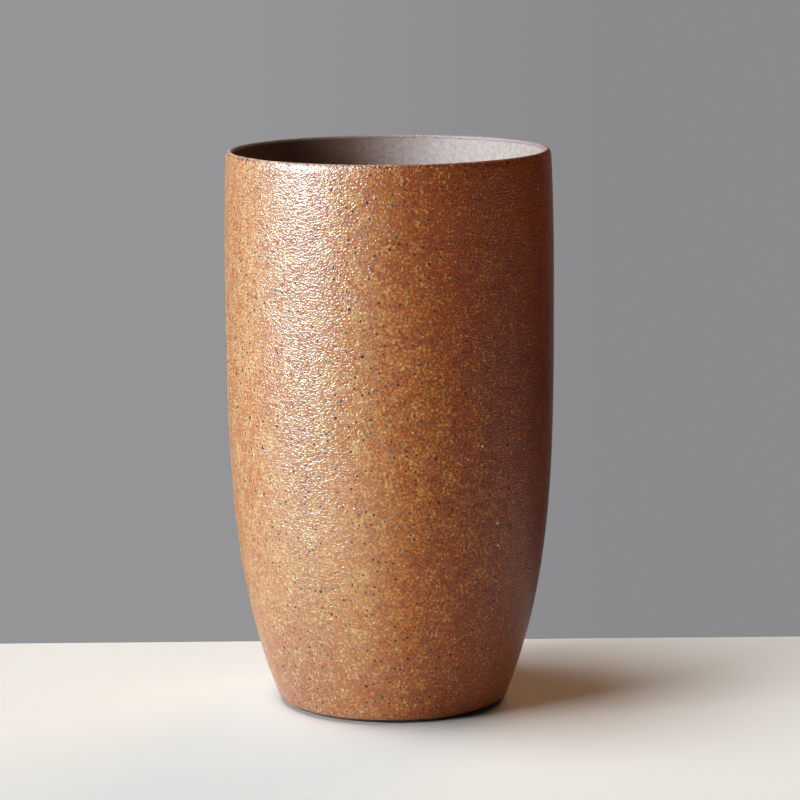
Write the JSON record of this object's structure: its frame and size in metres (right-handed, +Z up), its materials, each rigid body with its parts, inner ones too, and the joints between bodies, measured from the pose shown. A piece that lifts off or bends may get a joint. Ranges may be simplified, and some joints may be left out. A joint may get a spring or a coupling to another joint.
{
  "type": "stoneware tumbler",
  "caption": "Tall wheel-thrown stoneware drinking cup without a handle, tapering to a trimmed foot, with a speckled iron-brown glaze outside and a smooth taupe liner.",
  "frame": {"origin": "centre of the foot ring, on the table", "axes": "+Z up the axis of the cup towards the lip; X and Y are level and interchangeable, because the cup is round"},
  "size_m": [0.08, 0.08, 0.136],
  "materials": {
    "stoneware": "bare fired iron-bearing clay, matte and slightly gritty",
    "iron_glaze": "speckled iron-brown satin glaze with a fine orange-peel surface",
    "taupe_glaze": "smooth taupe satin liner glaze"
  },
  "bodies": {
    "root": {"clay_body": "stoneware", "outer_glaze": "iron_glaze", "liner_glaze": "taupe_glaze"}
  },
  "joints": []
}
